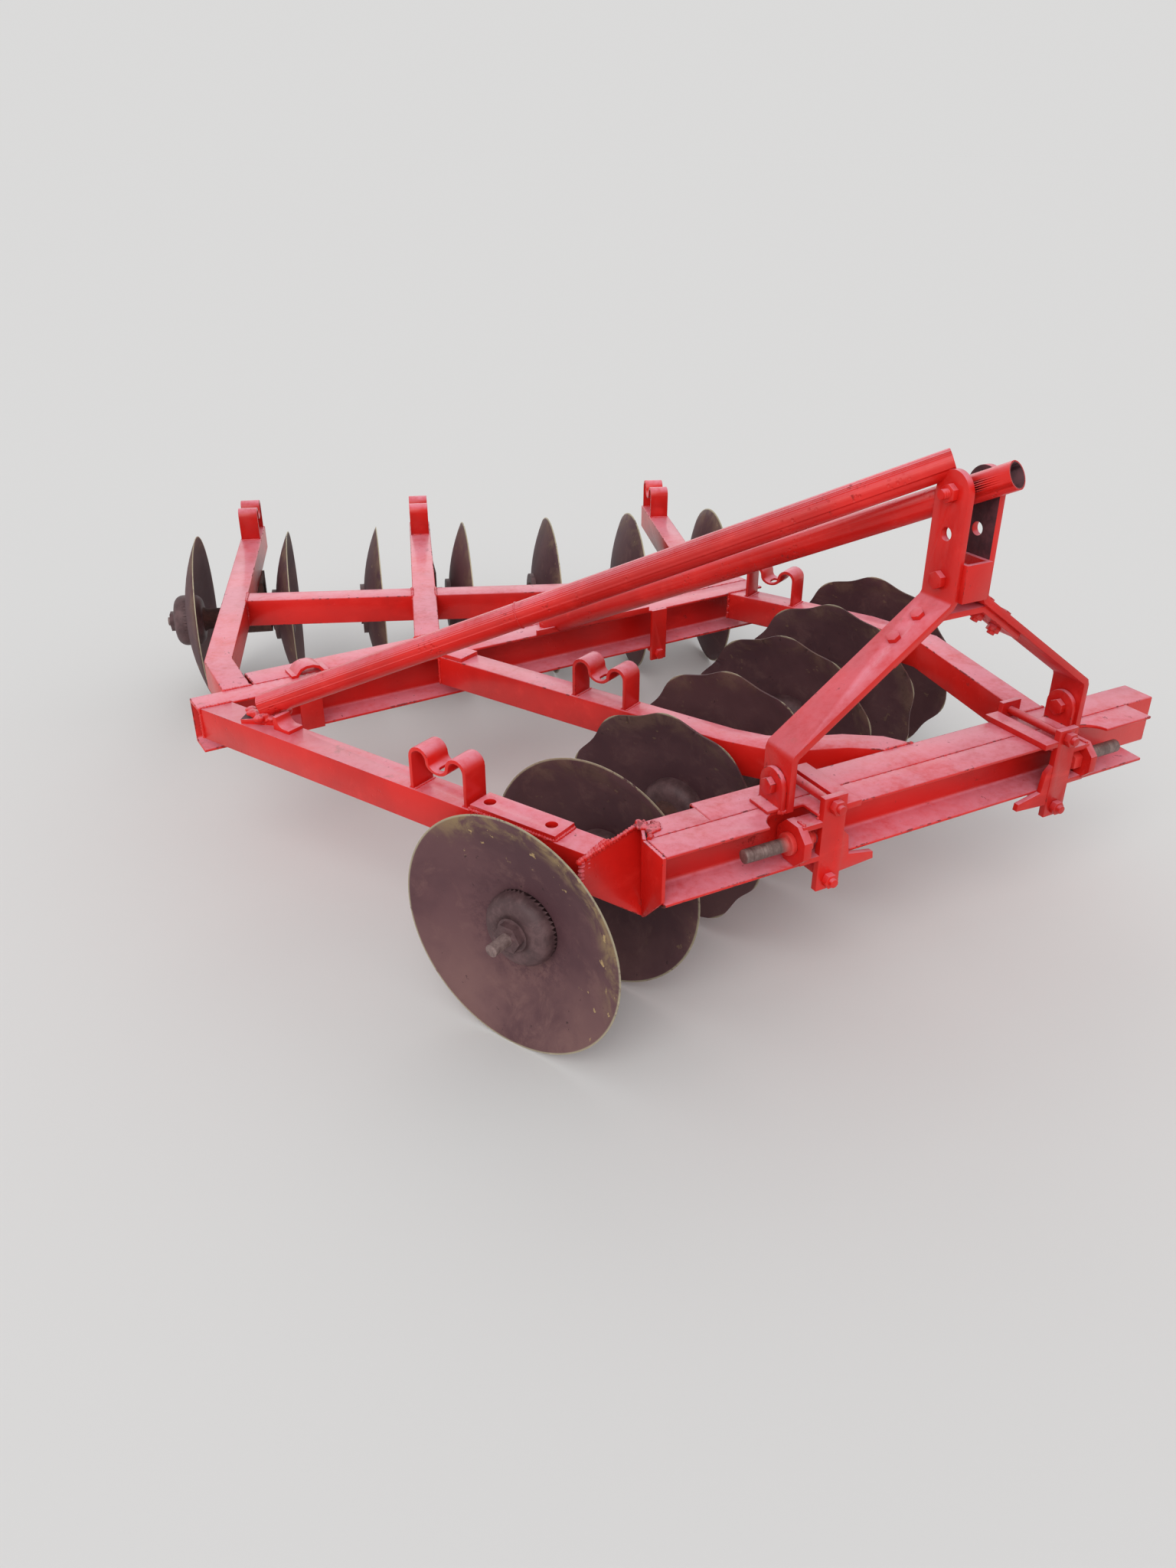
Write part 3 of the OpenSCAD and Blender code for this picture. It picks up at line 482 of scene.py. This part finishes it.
# the seats' dips are shallower than a half round: their bottoms are raised in the dressed copies
dipSet = {"reach": 0.0285, "bend": 0.069, "keep": 0.72}
seatPlaces = [(placeIn(frontGang, along, 0.220, frameTop), frontGang["angle"])
              for along in (0.097, 0.638, 1.462)]
armLines = {"right": [plan(-0.501, 1.274, 0), placeIn(rearGang, 0.154, 0.312, 0)],
            "middle": [plan(-0.030, 1.066, 0), placeIn(rearGang, 0.695, 0.262, 0)],
            "left": [plan(0.985, 1.516, 0), placeIn(rearGang, 1.510, 0.312, 0)]}
for line in armLines.values():
    way = (line[1] - line[0]).normalized()
    seatPlaces.append((line[1] - way * 0.081 + Vector((0, 0, frameTop)),
                       math.degrees(math.atan2(way.y, way.x)) - 90))
for node in ("front_seats", "rear_seats"):
    for vertex in dressed[node].data.vertices:
        place, angle = min(seatPlaces, key=lambda entry: (entry[0].to_2d() - vertex.co.to_2d()).length)
        turn = math.radians(angle)
        across = -(vertex.co.x - place.x) * math.sin(turn) + (vertex.co.y - place.y) * math.cos(turn)
        rise = vertex.co.z - frameTop
        if abs(across) < dipSet["reach"] and rise < dipSet["bend"]:
            vertex.co.z = frameTop + dipSet["bend"] + (rise - dipSet["bend"]) * dipSet["keep"]
print("faces chosen")


# weld beads: curves whose radius ripples, turned into meshes
beadSet = {"wobble": 0.16, "endShare": 0.55}


def weldRuns(name, runs, thick, finish="weld", rough=0.22, pitch=0.0065):
    deselect()
    bpy.ops.curve.primitive_nurbs_path_add(location=(0, 0, 0))
    piece = bpy.context.object
    piece.name = name
    curve = piece.data
    curve.splines.remove(curve.splines[0])
    for run in runs:
        places = []
        for first, second in zip(run, run[1:]):
            count = max(2, int((second - first).length / (pitch / 2)))
            places += [first.lerp(second, step / count) for step in range(count)]
        places.append(run[-1])
        spline = curve.splines.new("POLY")
        spline.points.add(len(places) - 1)
        for index, (point, place) in enumerate(zip(spline.points, places)):
            wobble = Vector([random.uniform(-1, 1) for axis in range(3)]) * thick * beadSet["wobble"]
            point.co = (*(place + wobble), 1)
            ends = beadSet["endShare"] if index in (0, len(places) - 1) else 1.0
            point.radius = ends * (1.0 + rough * (1 if index % 2 else -1) + random.uniform(-0.5, 0.5) * rough)
    curve.dimensions = "3D"
    curve.bevel_depth = thick
    curve.bevel_resolution = 2
    curve.use_fill_caps = True
    pick(piece)
    bpy.ops.object.convert(target="MESH")
    piece = bpy.context.object
    bpy.ops.object.mode_set(mode="EDIT")
    bpy.ops.mesh.select_all(action="SELECT")
    bpy.ops.mesh.remove_doubles(threshold=0.00001)
    bpy.ops.mesh.normals_make_consistent(inside=False)
    bpy.ops.object.mode_set(mode="OBJECT")
    bpy.ops.object.shade_smooth_by_angle(angle=math.radians(55))
    piece.data.materials.clear()
    piece.data.materials.append(paint[finish])
    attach(piece, "frame")


def flat(place):
    return Vector((place.x, place.y))


def faceHit(start, end, offset, face):
    # where a bar's edge, offset from its centre line, meets the line of a beam's face in plan
    way = (flat(end) - flat(start)).normalized()
    side = Vector((-way.y, way.x))
    edge = flat(start) + side * offset
    across = Vector((-math.sin(math.radians(face["angle"])), math.cos(math.radians(face["angle"]))))
    return edge + way * ((flat(face["point"]) - edge).dot(across) / way.dot(across))


bar = {"half": 0.033, "top": frameTop, "low": 0.381}


def endRun(start, end, face):
    # up one side of a bar's end, over its top and down the other side
    left = faceHit(start, end, bar["half"], face)
    right = faceHit(start, end, -bar["half"], face)
    return [Vector((*left, bar["low"])), Vector((*left, bar["top"])),
            Vector((*right, bar["top"])), Vector((*right, bar["low"]))]


frontFace = {"point": plan(0, 0.123, 0), "angle": 0.0}
rearFront = {"point": placeIn(rearBeam, 0, 0, 0), "angle": rearBeam["angle"]}
rearChannel = {"point": placeIn(rearBeam, 0, 0.070, 0), "angle": rearBeam["angle"]}
rearBack = {"point": placeIn(rearBeam, 0, 0.150, 0), "angle": rearBeam["angle"]}
memberAt = {"right": 0.097, "middle": 0.638, "left": 1.462}
runs = [endRun(placeIn(frontGang, along, 0.2, 0), placeIn(frontGang, along, 0.9, 0), rearFront)
        for along in memberAt.values()]
runs.append(endRun(placeIn(frontGang, 0.792, -0.384, 0), placeIn(frontGang, 0.800, -0.500, 0), frontFace))
runs.append(endRun(placeIn(frontGang, 1.425, -0.240, 0), placeIn(frontGang, 1.112, -0.630, 0), frontFace))
runs.append(endRun(plan(-0.501, 1.274, 0), plan(-0.500, 1.030, 0), rearChannel))
runs.append(endRun(armLines["middle"][1], armLines["middle"][0], rearBack))
runs.append(endRun(armLines["left"][0], placeIn(rearBeam, 1.517, 0.043, 0), rearBack))


def armSide(line, side):
    way = (line[1] - line[0]).normalized()
    return {"point": line[0] + Vector((-way.y, way.x, 0)) * bar["half"] * side,
            "angle": math.degrees(math.atan2(way.y, way.x))}


crossLine = [plan(-0.430, 1.740, 0), plan(0.760, 1.246, 0)]
runs.append(endRun(*crossLine, armSide(armLines["right"], -1)))
runs.append(endRun(*crossLine, armSide(armLines["middle"], 1)))
runs.append(endRun(*crossLine, armSide(armLines["middle"], -1)))
runs.append(endRun(*crossLine, rearBack))
weldRuns("memberWelds", runs, 0.0034)

# seats: a run outside and a run inside each foot
seatSet = {"reach": 0.075, "half": 0.029, "foot": 0.014}
runs = []
for place, angle in seatPlaces:
    turn = Matrix.Rotation(math.radians(angle), 3, "Z")
    for side in (-1, 1):
        for reach in (seatSet["reach"], seatSet["reach"] - seatSet["foot"]):
            runs.append([place + turn @ Vector((end * seatSet["half"], side * reach, 0))
                         for end in (-1, 1)])
weldRuns("seatWelds", runs, 0.0026)

# hole plate on the right member: a run round it
plateSet = {"centre": 0.038, "halfLong": 0.101, "halfWide": 0.0305}
plateCorners = [(-1, -1), (1, -1), (1, 1), (-1, 1), (-1, -1)]
weldRuns("plateWelds", [[placeIn(frontGang, memberAt["right"] + across * plateSet["halfWide"],
                                 plateSet["centre"] + along * plateSet["halfLong"], frameTop + 0.001)
                         for across, along in plateCorners]], 0.0036, rough=0.3)

# corner: the gusset's top edge, its fold and the right member's end
topSet = {"low": 0.448, "near": 0.010, "far": 0.028, "front": 0.045, "back": 0.104, "end": 0.140}
gusset = {"thick": 0.008, "rows": 8, "columns": 14, "topStart": plan(-0.139, 0.037, frameTop),
          "topEnd": plan(topSet["far"], topSet["back"], frameTop),
          "lowStart": plan(-0.139, 0.037, 0.389), "lowEnd": plan(-0.004, 0.042, 0.288)}
weldRuns("cornerWelds", [
    [plan(-0.150, 0.030, frameTop), gusset["topStart"], gusset["topEnd"]],
    [gusset["lowStart"], gusset["topStart"]],
    [plan(0.001, 0.045, frameTop), plan(topSet["near"], topSet["front"], frameTop), gusset["topEnd"]],
    [placeIn(frontGang, 0.064, -0.137, 0.385), placeIn(frontGang, 0.064, -0.137, frameTop),
     placeIn(frontGang, 0.130, -0.137, frameTop)],
], 0.0044, rough=0.4, pitch=0.008)
weldRuns("tornEdge", [
    [plan(-0.001, -0.024, 0.346), plan(-0.001, 0.040, 0.346)],
    [plan(-0.001, -0.024, 0.352), plan(-0.001, -0.024, 0.345)],
    [plan(-0.001, 0.040, 0.350), plan(-0.001, 0.040, 0.448)],
    [plan(-0.001, 0.038, 0.451), plan(-0.001, -0.024, 0.451)],
], 0.0024, "wornEdge", rough=0.5, pitch=0.008)

# joints between each channel and its box
weldRuns("beamSeams", [
    [plan(0.004, 0.0452, frameTop), plan(1.254, 0.0452, frameTop)],
    [placeIn(rearBeam, 0.152, 0.0702, frameTop), placeIn(rearBeam, 1.608, 0.0702, frameTop)],
], 0.0013, "edge", rough=0.6, pitch=0.016)

# mast feet, and the brackets against the beam
mastSet = {"footHalf": 0.381, "barThick": 0.014, "lug": 0.012, "lugHalf": 0.036, "bossHalf": 0.388,
           "bossThick": 0.014}
runs = []
for side in (-1, 1):
    near = mastAt["x"] + side * mastSet["footHalf"] - mastSet["barThick"] / 2 - mastSet["lug"]
    far = near + mastSet["lug"]
    outline = ((near, -mastSet["lugHalf"]), (far, -mastSet["lugHalf"]), (far, mastSet["lugHalf"]),
               (near, mastSet["lugHalf"]), (near, -mastSet["lugHalf"]))
    runs.append([plan(x, mastAt["y"] + y, frameTop) for x, y in outline])
weldRuns("footWelds", runs, 0.0040, rough=0.3)
strapSet = {"right": -0.307, "left": 0.307, "half": 0.027, "front": -0.025}
runs = []
for x in (strapSet["right"], strapSet["left"]):
    for side in (-1, 1):
        edge = mastAt["x"] + x + side * strapSet["half"]
        runs.append([plan(edge, strapSet["front"], z) for z in (0.349, 0.362)])
        runs.append([plan(edge, strapSet["front"], z) for z in (0.440, 0.4545)])
for side in (-1, 1):
    bossFace = mastAt["x"] + side * (mastSet["bossHalf"] - mastSet["bossThick"])
    for z in (0.3675, 0.4425):
        runs.append([plan(bossFace, y, z) for y in (-0.038, -0.014)])
weldRuns("bracketWelds", runs, 0.0034, rough=0.3)

# tubes: a joint ring, and runs round their feet
ringSet = {"along": 0.415, "sides": 40}


def ringRun(start, end, share, radius):
    way = (end - start).normalized()
    first = way.cross(Vector((0, 0, 1))).normalized()
    second = way.cross(first)
    centre = start.lerp(end, share)
    return [centre + (first * math.cos(2 * math.pi * k / ringSet["sides"])
                      + second * math.sin(2 * math.pi * k / ringSet["sides"])) * radius
            for k in range(ringSet["sides"] + 1)]


weldRuns("tubeRing", [ringRun(tubeSet["upperFoot"], tubeSet["upperHead"], ringSet["along"],
                              tubeSet["radius"])], 0.0016, "tube", rough=0.25)


# lumps of weld: flattened balls joined, remeshed and roughened
lumpSet = {"voxel": 0.0022, "grain": 0.0044, "grainScale": 0.011}


def weldLump(name, centre, spots):
    balls = []
    for offset, size in spots:
        deselect()
        bpy.ops.mesh.primitive_ico_sphere_add(subdivisions=3, radius=1,
                                              location=centre + Vector(offset), scale=size)
        bpy.ops.object.transform_apply(location=True, rotation=True, scale=True)
        balls.append(bpy.context.object)
    deselect()
    for ball in balls:
        ball.select_set(True)
    bpy.context.view_layer.objects.active = balls[0]
    bpy.ops.object.join()
    piece = bpy.context.object
    piece.name = name
    remesh = piece.modifiers.new("skin", "REMESH")
    remesh.mode = "VOXEL"
    remesh.voxel_size = lumpSet["voxel"]
    bpy.ops.object.modifier_apply(modifier=remesh.name)
    texture = bpy.data.textures.new(name + "Grain", "CLOUDS")
    texture.noise_scale = lumpSet["grainScale"]
    rough = piece.modifiers.new("rough", "DISPLACE")
    rough.texture = texture
    rough.texture_coords = "LOCAL"
    rough.strength = lumpSet["grain"]
    bpy.ops.object.modifier_apply(modifier=rough.name)
    bpy.ops.object.shade_smooth()
    piece.data.materials.clear()
    piece.data.materials.append(paint["weld"])
    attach(piece, "frame")


def scatter(half, height, count, size):
    # spots for a lump, spread over an oval
    spots = []
    for index in range(count):
        angle = random.uniform(0, 2 * math.pi)
        reach = random.random() ** 0.5
        spots.append(((math.cos(angle) * reach * half[0], math.sin(angle) * reach * half[1],
                       random.uniform(0, height)),
                      (size * random.uniform(0.7, 1.3), size * random.uniform(0.7, 1.3),
                       size * random.uniform(0.45, 0.8))))
    return spots


weldLump("upperFootWeld", tubeSet["upperFoot"] + Vector((0.004, -0.004, -0.024)),
         scatter((0.050, 0.036), 0.012, 26, 0.011))
weldLump("lowerFootWeld", tubeSet["lowerFoot"] + Vector((0.006, 0.006, -0.006)),
         scatter((0.034, 0.036), 0.008, 20, 0.009))
print("welds laid")

# corner gusset: a leaning sheet from the right member to the channel's tip, with end, fold and top plates
deselect()
bpy.ops.mesh.primitive_grid_add(x_subdivisions=gusset["columns"], y_subdivisions=gusset["rows"],
                                size=1, location=(0, 0, 0))
sheet = bpy.context.object
sheet.name = "cornerGusset"
for vertex in sheet.data.vertices:
    across, up = vertex.co.x + 0.5, vertex.co.y + 0.5
    low = gusset["lowStart"].lerp(gusset["lowEnd"], across)
    high = gusset["topStart"].lerp(gusset["topEnd"], across)
    vertex.co = low.lerp(high, up)
wall = sheet.modifiers.new("wall", "SOLIDIFY")
wall.thickness = gusset["thick"]
wall.offset = -1
bpy.ops.object.modifier_apply(modifier=wall.name)
capSet = {"thick": 0.008, "front": -0.025, "back": 0.046, "top": 0.4535, "tip": (0.040, 0.288),
          "frontLow": 0.358}


def outlinePlate(corners, thick, way):
    # a flat plate from its corners, given its thickness along one way
    deselect()
    bpy.ops.mesh.primitive_circle_add(vertices=len(corners), radius=1, fill_type="NGON", location=(0, 0, 0))
    piece = bpy.context.object
    for vertex, corner in zip(piece.data.vertices, corners):
        vertex.co = corner
    bpy.ops.object.mode_set(mode="EDIT")
    bpy.ops.mesh.select_all(action="SELECT")
    bpy.ops.mesh.extrude_region_move(TRANSFORM_OT_translate={"value": Vector(way) * thick})
    bpy.ops.mesh.select_all(action="SELECT")
    bpy.ops.mesh.normals_make_consistent(inside=False)
    bpy.ops.object.mode_set(mode="OBJECT")
    return piece


capCorners = [(capSet["front"], capSet["frontLow"]), capSet["tip"], (capSet["back"], capSet["tip"][1]),
              (capSet["back"], capSet["top"]), (capSet["front"], capSet["top"])]
cap = outlinePlate([plan(0, y, z) for y, z in capCorners], capSet["thick"], (-1, 0, 0))
topCorners = [(topSet["near"], topSet["front"]), (topSet["end"], topSet["front"]),
              (topSet["end"], topSet["back"]), (topSet["far"], topSet["back"])]
top = outlinePlate([plan(x, y, topSet["low"]) for x, y in topCorners], frameTop - topSet["low"], (0, 0, 1))
foldCorners = [plan(0, capSet["back"], capSet["tip"][1]), plan(0, capSet["back"], capSet["top"]),
               gusset["topEnd"]]
fold = outlinePlate(foldCorners, capSet["thick"], (-0.7, 0.7, 0))
deselect()
for part in (cap, fold, top, sheet):
    part.select_set(True)
bpy.context.view_layer.objects.active = sheet
bpy.ops.object.join()
sheet.data.materials.clear()
sheet.data.materials.append(paint["main"])
sheet.data.materials.append(paint["edge"])
bevel = sheet.modifiers.new("edges", "BEVEL")
bevel.width = 0.0014
bevel.segments = 2
bevel.limit_method = "ANGLE"
bevel.angle_limit = math.radians(30)
bevel.material = 1
bpy.ops.object.modifier_apply(modifier=bevel.name)
bpy.ops.object.shade_smooth_by_angle(angle=math.radians(30))
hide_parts("corner_gusset")
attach(sheet, "frame")
bpy.data.objects.remove(dressed.pop("corner_gusset"))
weldLump("cornerLump", plan(0.024, 0.082, frameTop - 0.002), scatter((0.020, 0.022), 0.005, 16, 0.008))

# domed hubs in the hollows of the discs behind each first one
domeSet = {"radius": 0.078, "face": 0.010, "base": 0.068, "round": 0.027, "pitch": 0.274, "discs": 7}
hubSet = {"front_gang": (frontGang, 0.0, 1), "rear_gang": (rearGang, 6 * domeSet["pitch"], -1)}


def hubDome(gang, along, turn):
    # a short cylinder round the axle whose outer rim is rounded over
    centre = placeIn(gang, along, 0, axleHeight)
    deselect()
    bpy.ops.mesh.primitive_cylinder_add(vertices=72, radius=domeSet["radius"],
                                        depth=domeSet["base"] - domeSet["face"], end_fill_type="NGON",
                                        location=centre, rotation=(0, -math.pi / 2, turn))
    dome = bpy.context.object
    bpy.ops.object.transform_apply(location=True, rotation=True, scale=True)
    bpy.ops.object.mode_set(mode="EDIT")
    bpy.ops.mesh.select_all(action="DESELECT")
    bpy.ops.object.mode_set(mode="OBJECT")
    axis = Vector((math.cos(turn), math.sin(turn), 0))
    for edge in dome.data.edges:
        ends = [dome.data.vertices[v].co for v in edge.vertices]
        edge.select = all((place - centre).dot(axis) < -0.001 for place in ends)
    bpy.ops.object.mode_set(mode="EDIT")
    bpy.ops.mesh.select_mode(type="EDGE")
    bpy.ops.mesh.bevel(offset=domeSet["round"], segments=8, affect="EDGES")
    bpy.ops.mesh.select_all(action="SELECT")
    bpy.ops.mesh.normals_make_consistent(inside=False)
    bpy.ops.object.mode_set(mode="OBJECT")
    bpy.ops.object.shade_smooth_by_angle(angle=math.radians(40))
    dome.data.materials.append(paint["bell"])
    return dome


for body, (gang, first, way) in hubSet.items():
    turn = math.radians(gang["angle"]) + (0 if way == 1 else math.pi)
    middle = first + way * (domeSet["pitch"] + (domeSet["face"] + domeSet["base"]) / 2)
    copies = [hubDome(gang, middle, turn)]
    for index in range(1, domeSet["discs"] - 1):
        pick(copies[0])
        bpy.ops.object.duplicate()
        bpy.ops.transform.translate(
            value=placeIn(gang, way * domeSet["pitch"] * index, 0, 0) - placeIn(gang, 0, 0, 0))
        bpy.ops.object.transform_apply(location=True, rotation=True, scale=True)
        copies.append(bpy.context.object)
    deselect()
    for copy in copies:
        copy.select_set(True)
    bpy.context.view_layer.objects.active = copies[0]
    bpy.ops.object.join()
    copies[0].name = body + "Domes"
    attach(copies[0], body)

# cones that carry each end bell up to its nut
coneSet = {"wide": 0.058, "narrow": 0.0335, "height": 0.008, "start": 0.0175, "end": 1.735}
for body, (gang, first, way) in hubSet.items():
    for end, side in ((coneSet["start"], -1), (coneSet["end"], 1)):
        along = first + way * (end + side * coneSet["height"] / 2)
        facing = side * way
        deselect()
        bpy.ops.mesh.primitive_cone_add(vertices=72, radius1=coneSet["wide"], radius2=coneSet["narrow"],
                                        depth=coneSet["height"], end_fill_type="NGON",
                                        location=placeIn(gang, along, 0, axleHeight),
                                        rotation=(0, facing * math.pi / 2, math.radians(gang["angle"])))
        cone = bpy.context.object
        bpy.ops.object.transform_apply(location=True, rotation=True, scale=True)
        bevel = cone.modifiers.new("round", "BEVEL")
        bevel.width = 0.004
        bevel.segments = 4
        bpy.ops.object.modifier_apply(modifier=bevel.name)
        bpy.ops.object.shade_smooth_by_angle(angle=math.radians(50))
        cone.name = body + ("Start" if side < 0 else "End") + "Cone"
        cone.data.materials.append(paint["bell"])
        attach(cone, body)
print("gusset and domes made")

# the threaded end that stands out of the mast's upper bolt
threadSet = {"place": plan(mastAt["x"] - 0.0583, mastAt["y"], 1.012), "radius": 0.0098,
             "length": 0.015, "turns": 6, "root": 0.88}
deselect()
bpy.ops.mesh.primitive_cylinder_add(vertices=28, radius=threadSet["radius"], depth=threadSet["length"],
                                    end_fill_type="NGON",
                                    location=threadSet["place"] + Vector((-threadSet["length"] / 2, 0, 0)),
                                    rotation=(0, math.pi / 2, 0))
bpy.ops.object.transform_apply(location=True, rotation=True, scale=True)
thread = bpy.context.object
thread.name = "upperBoltThread"
bpy.ops.object.mode_set(mode="EDIT")
for turn in range(1, threadSet["turns"]):
    bpy.ops.mesh.select_all(action="SELECT")
    bpy.ops.mesh.bisect(
        plane_co=threadSet["place"] + Vector((-threadSet["length"] * turn / threadSet["turns"], 0, 0)),
        plane_no=(1, 0, 0))
bpy.ops.object.mode_set(mode="OBJECT")
for vertex in thread.data.vertices:
    turn = round((threadSet["place"].x - vertex.co.x) / threadSet["length"] * threadSet["turns"])
    if turn % 2 or turn == threadSet["turns"]:
        vertex.co.y = threadSet["place"].y + (vertex.co.y - threadSet["place"].y) * threadSet["root"]
        vertex.co.z = threadSet["place"].z + (vertex.co.z - threadSet["place"].z) * threadSet["root"]
thread.data.materials.append(paint["bolts"])
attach(thread, "frame")
print("fittings made")

# floor, soft lamps and world
floorSet = {"size": 400, "color": (0.73, 0.715, 0.69), "sky": (0.94, 0.96, 1.0), "skyLevel": 0.72}
deselect()
bpy.ops.mesh.primitive_plane_add(size=floorSet["size"], location=(0, 0, 0))
floor = bpy.context.object
floor.name = "floor"
floorShop = Shop("floor", floorSet["color"])
floor.data.materials.append(floorShop.finish(Base_Color=(*floorSet["color"], 1), Roughness=1.0,
                                             Specular_IOR_Level=0.0))
lampSet = [
    {"name": "skyLamp", "from": (-3.0, -3.2, 3.6), "strength": 1.15, "spread": 46},
    {"name": "backLamp", "from": (2.4, 6.0, 3.0), "strength": 0.45, "spread": 50},
]
lampLight = 0.0
for lamp in lampSet:
    deselect()
    bpy.ops.object.light_add(type="SUN", location=lamp["from"])
    light = bpy.context.object
    light.name = lamp["name"]
    light.data.energy = lamp["strength"]
    light.data.angle = math.radians(lamp["spread"])
    light.rotation_euler = (-Vector(lamp["from"])).to_track_quat("-Z", "Y").to_euler()
    lampLight += lamp["strength"] * Vector(lamp["from"]).normalized().z / math.pi
world = bpy.data.worlds.new("studio")
scene.world = world
world.use_nodes = True
sky = world.node_tree.nodes
sky["Background"].inputs[0].default_value = (*floorSet["sky"], 1)
sky["Background"].inputs[1].default_value = floorSet["skyLevel"]


def skyFor(rays, color, level, under):
    # what one kind of ray sees in place of the sky
    seen = sky.new("ShaderNodeBackground")
    seen.inputs[0].default_value = (*color, 1)
    seen.inputs[1].default_value = level
    path = sky.new("ShaderNodeLightPath")
    either = sky.new("ShaderNodeMixShader")
    world.node_tree.links.new(path.outputs[rays], either.inputs[0])
    world.node_tree.links.new(under, either.inputs[1])
    world.node_tree.links.new(seen.outputs[0], either.inputs[2])
    return either.outputs[0]


# seen directly or mirrored, the sky takes the far floor's tone, so that no horizon shows
farTone = [shade * (tint * floorSet["skyLevel"] + lampLight)
           for shade, tint in zip(floorSet["color"], floorSet["sky"])]
shown = skyFor("Is Glossy Ray", farTone, 1.0, sky["Background"].outputs[0])
shown = skyFor("Is Camera Ray", farTone, 1.0, shown)
world.node_tree.links.new(shown, sky["World Output"].inputs[0])
scene.view_settings.view_transform = "Standard"
print("stage lit")
